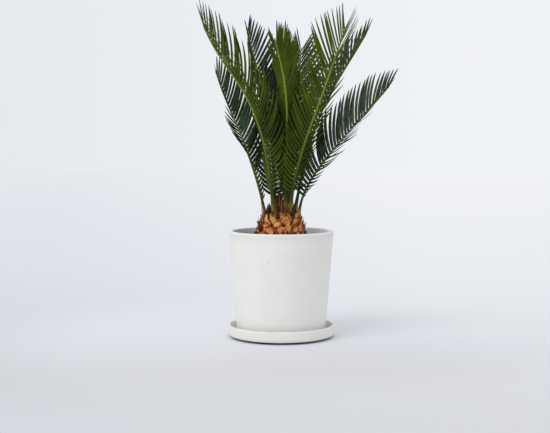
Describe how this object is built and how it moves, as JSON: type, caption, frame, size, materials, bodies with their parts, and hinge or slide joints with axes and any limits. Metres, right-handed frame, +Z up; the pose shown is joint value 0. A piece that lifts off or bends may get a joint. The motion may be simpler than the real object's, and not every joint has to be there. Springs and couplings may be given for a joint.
{
  "type": "potted sago palm",
  "caption": "Young sago palm with a scaly swollen stem and feathered arching fronds, in a slightly tapered round ceramic pot on a round saucer.",
  "frame": {"origin": "centre of the saucer's flat foot, on the floor", "axes": "+Z up along the pot's axis, +X to the right and -Y towards the viewer of the plant's front"},
  "size_m": [0.3366, 0.2576, 0.5659],
  "materials": {
    "ceramic": "matte off-white cast ceramic with fine dark specks",
    "potting_mix": "dark damp potting mix",
    "leaf_bases": "dry tan and orange leaf bases with dark fibrous edges",
    "bud_wool": "dark brown wool",
    "leaf": "leathery, deep green and slightly glossy above, olive green below",
    "dry_scale": "dry fibrous brown"
  },
  "bodies": {
    "root": {"saucer": "ceramic", "pot": "ceramic", "soil": "potting_mix", "caudex": "leaf_bases", "crown_bud": "bud_wool", "frond_01": "leaf", "frond_02": "leaf", "frond_03": "leaf", "frond_04": "leaf", "frond_05": "leaf", "frond_06": "leaf", "frond_07": "leaf", "frond_08": "leaf", "frond_09": "leaf", "frond_10": "leaf", "scale_leaf_01": "dry_scale", "scale_leaf_02": "dry_scale", "scale_leaf_03": "dry_scale", "scale_leaf_04": "dry_scale", "scale_leaf_05": "dry_scale", "scale_leaf_06": "dry_scale", "scale_leaf_07": "dry_scale", "scale_leaf_08": "dry_scale", "scale_leaf_09": "dry_scale", "scale_leaf_10": "dry_scale", "scale_leaf_11": "dry_scale", "scale_leaf_12": "dry_scale"}
  },
  "joints": []
}
